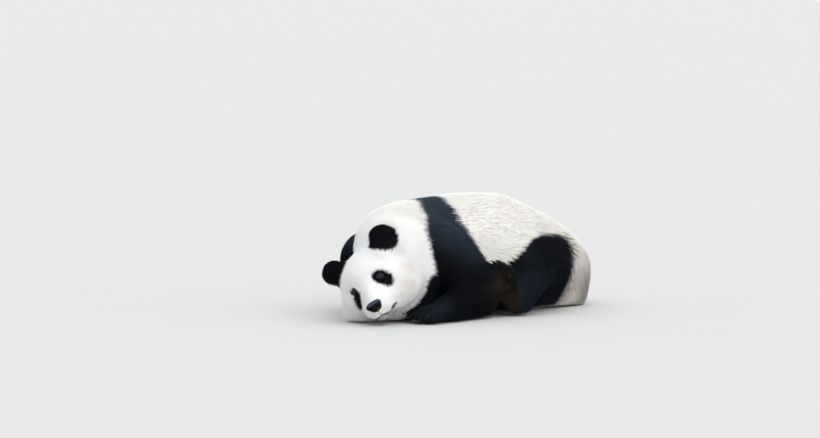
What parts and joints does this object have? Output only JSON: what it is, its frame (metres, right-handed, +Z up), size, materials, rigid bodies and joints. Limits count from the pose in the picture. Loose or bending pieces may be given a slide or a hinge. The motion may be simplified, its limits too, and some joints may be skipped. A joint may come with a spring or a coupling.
{
  "type": "giant panda",
  "caption": "Life-size still model of a giant panda slumped asleep on its belly, head turned and laid on its right cheek, one sole raised beside the belly.",
  "frame": {"origin": "on the floor, midway between the sides, straight below the withers", "axes": "+X from head to tail, +Y towards the animal's right side, +Z up"},
  "size_m": [1.1973, 0.7032, 0.4061],
  "materials": {
    "white_coat": "dense cream-white fur",
    "black_coat": "dense black fur with a cool sheen",
    "nose": "bare grained skin, slightly moist",
    "claw": "worn dark horn",
    "eye": "wet dark brown"
  },
  "bodies": {
    "root": {"claw_fore_left_1": "claw", "claw_fore_left_2": "claw", "claw_fore_left_3": "claw", "claw_fore_left_4": "claw", "claw_fore_left_5": "claw", "claw_fore_right_1": "claw", "claw_fore_right_2": "claw", "claw_fore_right_3": "claw", "claw_fore_right_4": "claw", "claw_fore_right_5": "claw", "claw_hind_left_1": "claw", "claw_hind_left_2": "claw", "claw_hind_left_3": "claw", "claw_hind_left_4": "claw", "claw_hind_left_5": "claw", "claw_hind_right_1": "claw", "claw_hind_right_2": "claw", "claw_hind_right_3": "claw", "claw_hind_right_4": "claw", "claw_hind_right_5": "claw", "ear_left": "black_coat", "ear_right": "black_coat", "eye_left": "eye", "eye_right": "eye", "fore_left_lower": "black_coat", "fore_left_paw": "black_coat", "fore_left_upper": "black_coat", "fore_right_lower": "black_coat", "fore_right_paw": "black_coat", "fore_right_upper": "black_coat", "head": "white_coat", "hind_left_lower": "black_coat", "hind_left_paw": "black_coat", "hind_left_upper": "black_coat", "hind_right_lower": "black_coat", "hind_right_paw": "black_coat", "hind_right_upper": "black_coat", "neck": "white_coat", "nose": "nose", "tail": "white_coat", "trunk": "white_coat"}
  },
  "joints": []
}
